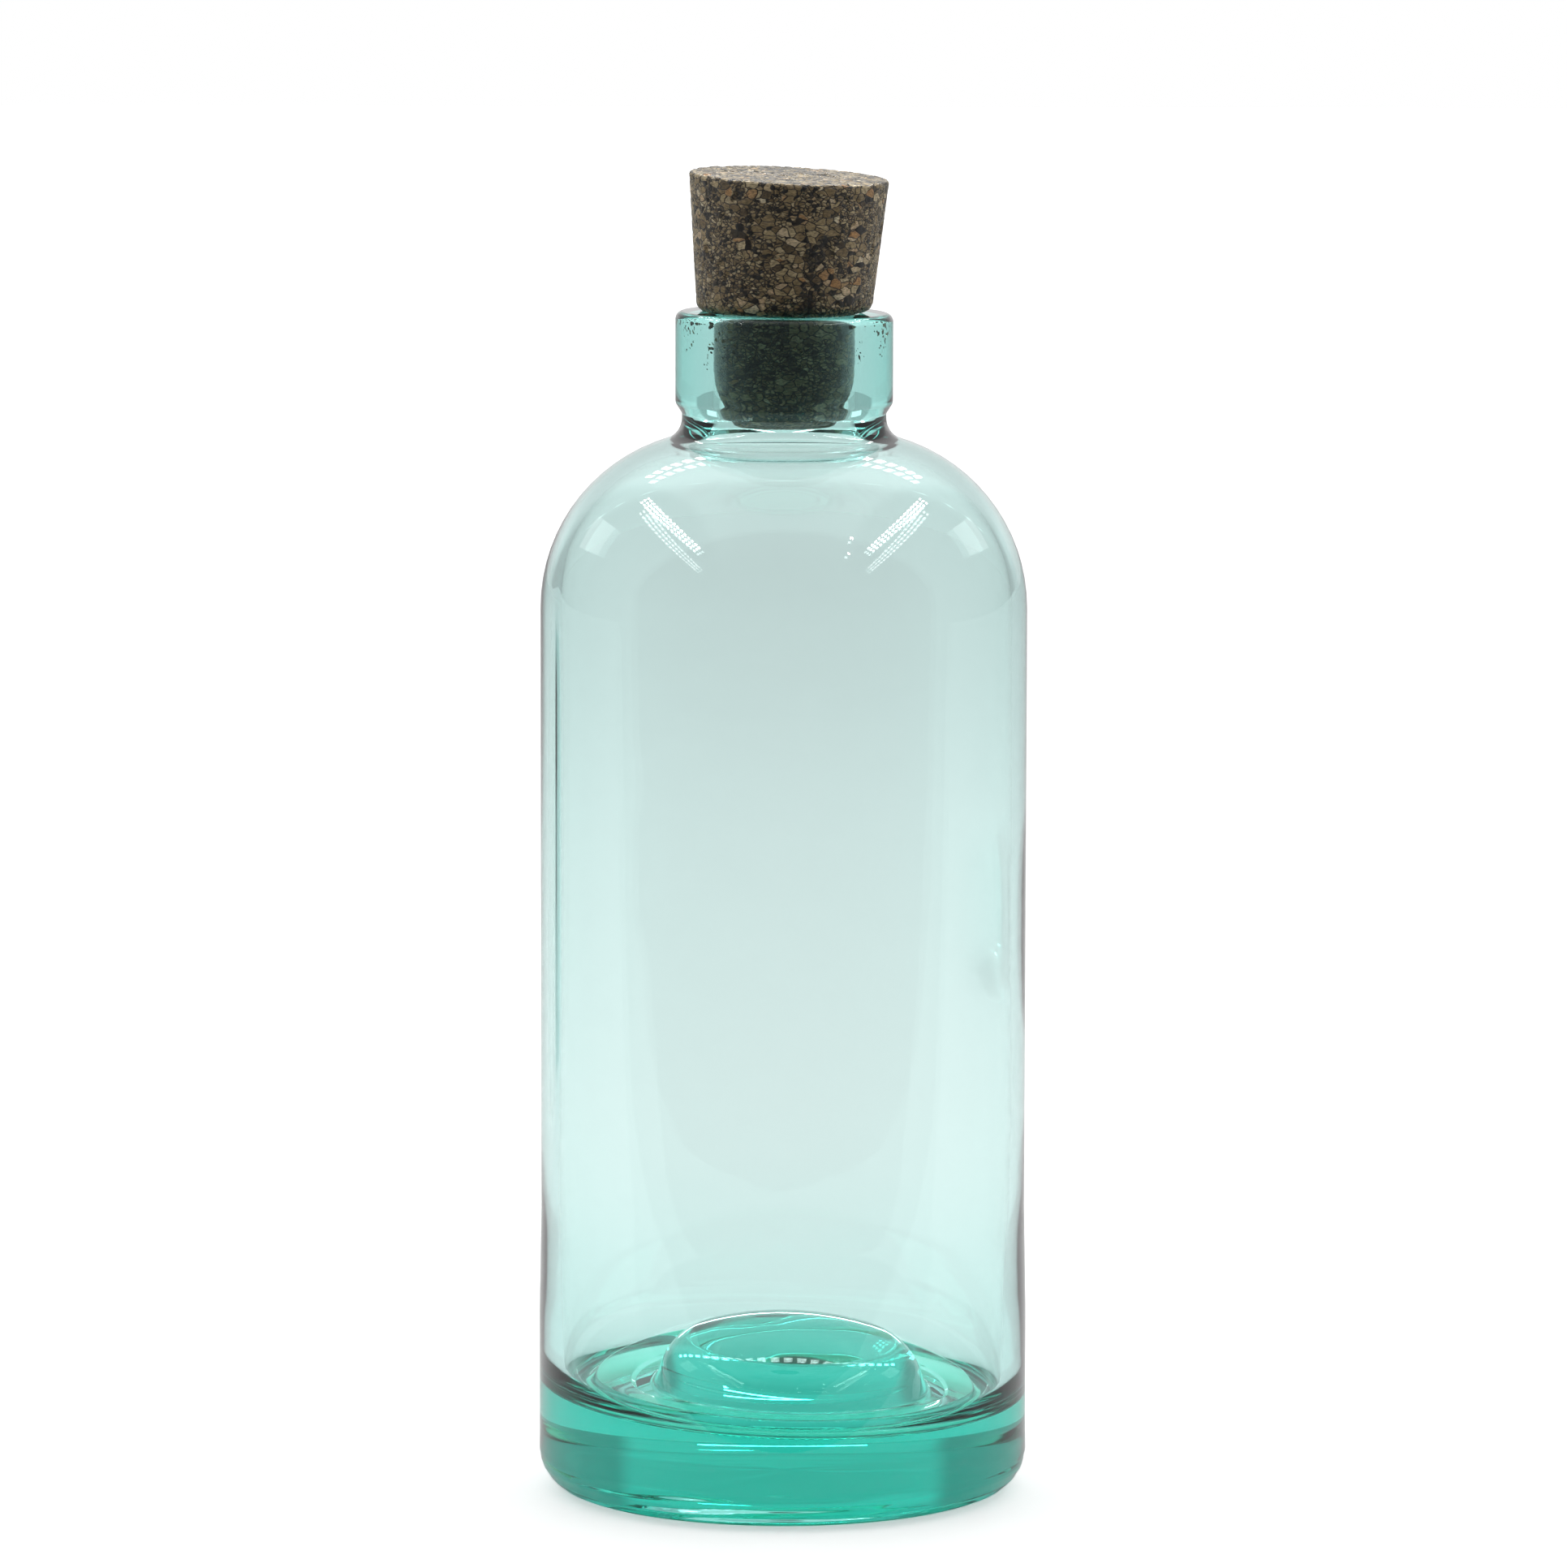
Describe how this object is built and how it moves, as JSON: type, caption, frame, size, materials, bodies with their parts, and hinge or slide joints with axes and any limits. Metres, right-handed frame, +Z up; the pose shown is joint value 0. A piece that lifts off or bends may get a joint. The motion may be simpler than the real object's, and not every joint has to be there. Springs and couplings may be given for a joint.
{
  "type": "corked glass bottle",
  "caption": "Thick-footed cylindrical bottle of green-tinted glass with a round shoulder, short banded neck and a tapered agglomerated cork that pulls out.",
  "frame": {"origin": "centre of the foot, in the plane of the ring that the bottle stands on", "axes": "+Z up along the bottle's axis; X and Y across it, and the body is round, so that neither has a mark"},
  "size_m": [0.075, 0.075, 0.2024],
  "materials": {
    "green_glass": "clear, smooth and lightly tinted green, deeper in the thick foot and lip",
    "agglomerated_cork": "matt pressed cork granules, brown with dark specks"
  },
  "bodies": {
    "glass_bottle": {"glass_bottle": "green_glass"},
    "cork_stopper": {"cork_stopper": "agglomerated_cork"}
  },
  "joints": [
    {"name": "cork_pull", "type": "slide", "parent": "glass_bottle", "child": "cork_stopper", "axis": [0, 0, 1], "range_m": [0, 0.06]}
  ]
}
